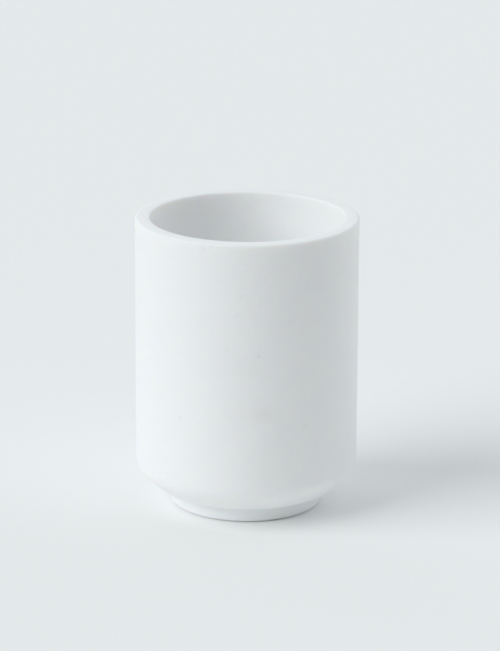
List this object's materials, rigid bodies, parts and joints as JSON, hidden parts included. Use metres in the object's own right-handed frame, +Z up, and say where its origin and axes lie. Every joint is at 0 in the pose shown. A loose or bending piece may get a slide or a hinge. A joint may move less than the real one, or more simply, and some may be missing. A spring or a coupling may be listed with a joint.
{
  "type": "pen holder cup",
  "caption": "Straight round stone cup for pens on a desk, open at the top, bevelled in at the base to a smaller recessed foot with a non-slip pad.",
  "frame": {"origin": "centre of the non-slip pad's underside, where the cup's axis meets the desk", "axes": "+Z up along the cup's axis of symmetry, out of its mouth; the cup is round, so +X and +Y are any two level directions, with +Y away from a viewer in front"},
  "size_m": [0.075, 0.075, 0.0995],
  "materials": {
    "stone": "honed",
    "pad": "matte",
    "film": "satin"
  },
  "bodies": {
    "root": {"cup_body": "stone", "non_slip_pad": "pad", "pad_adhesive": "film"}
  },
  "joints": []
}
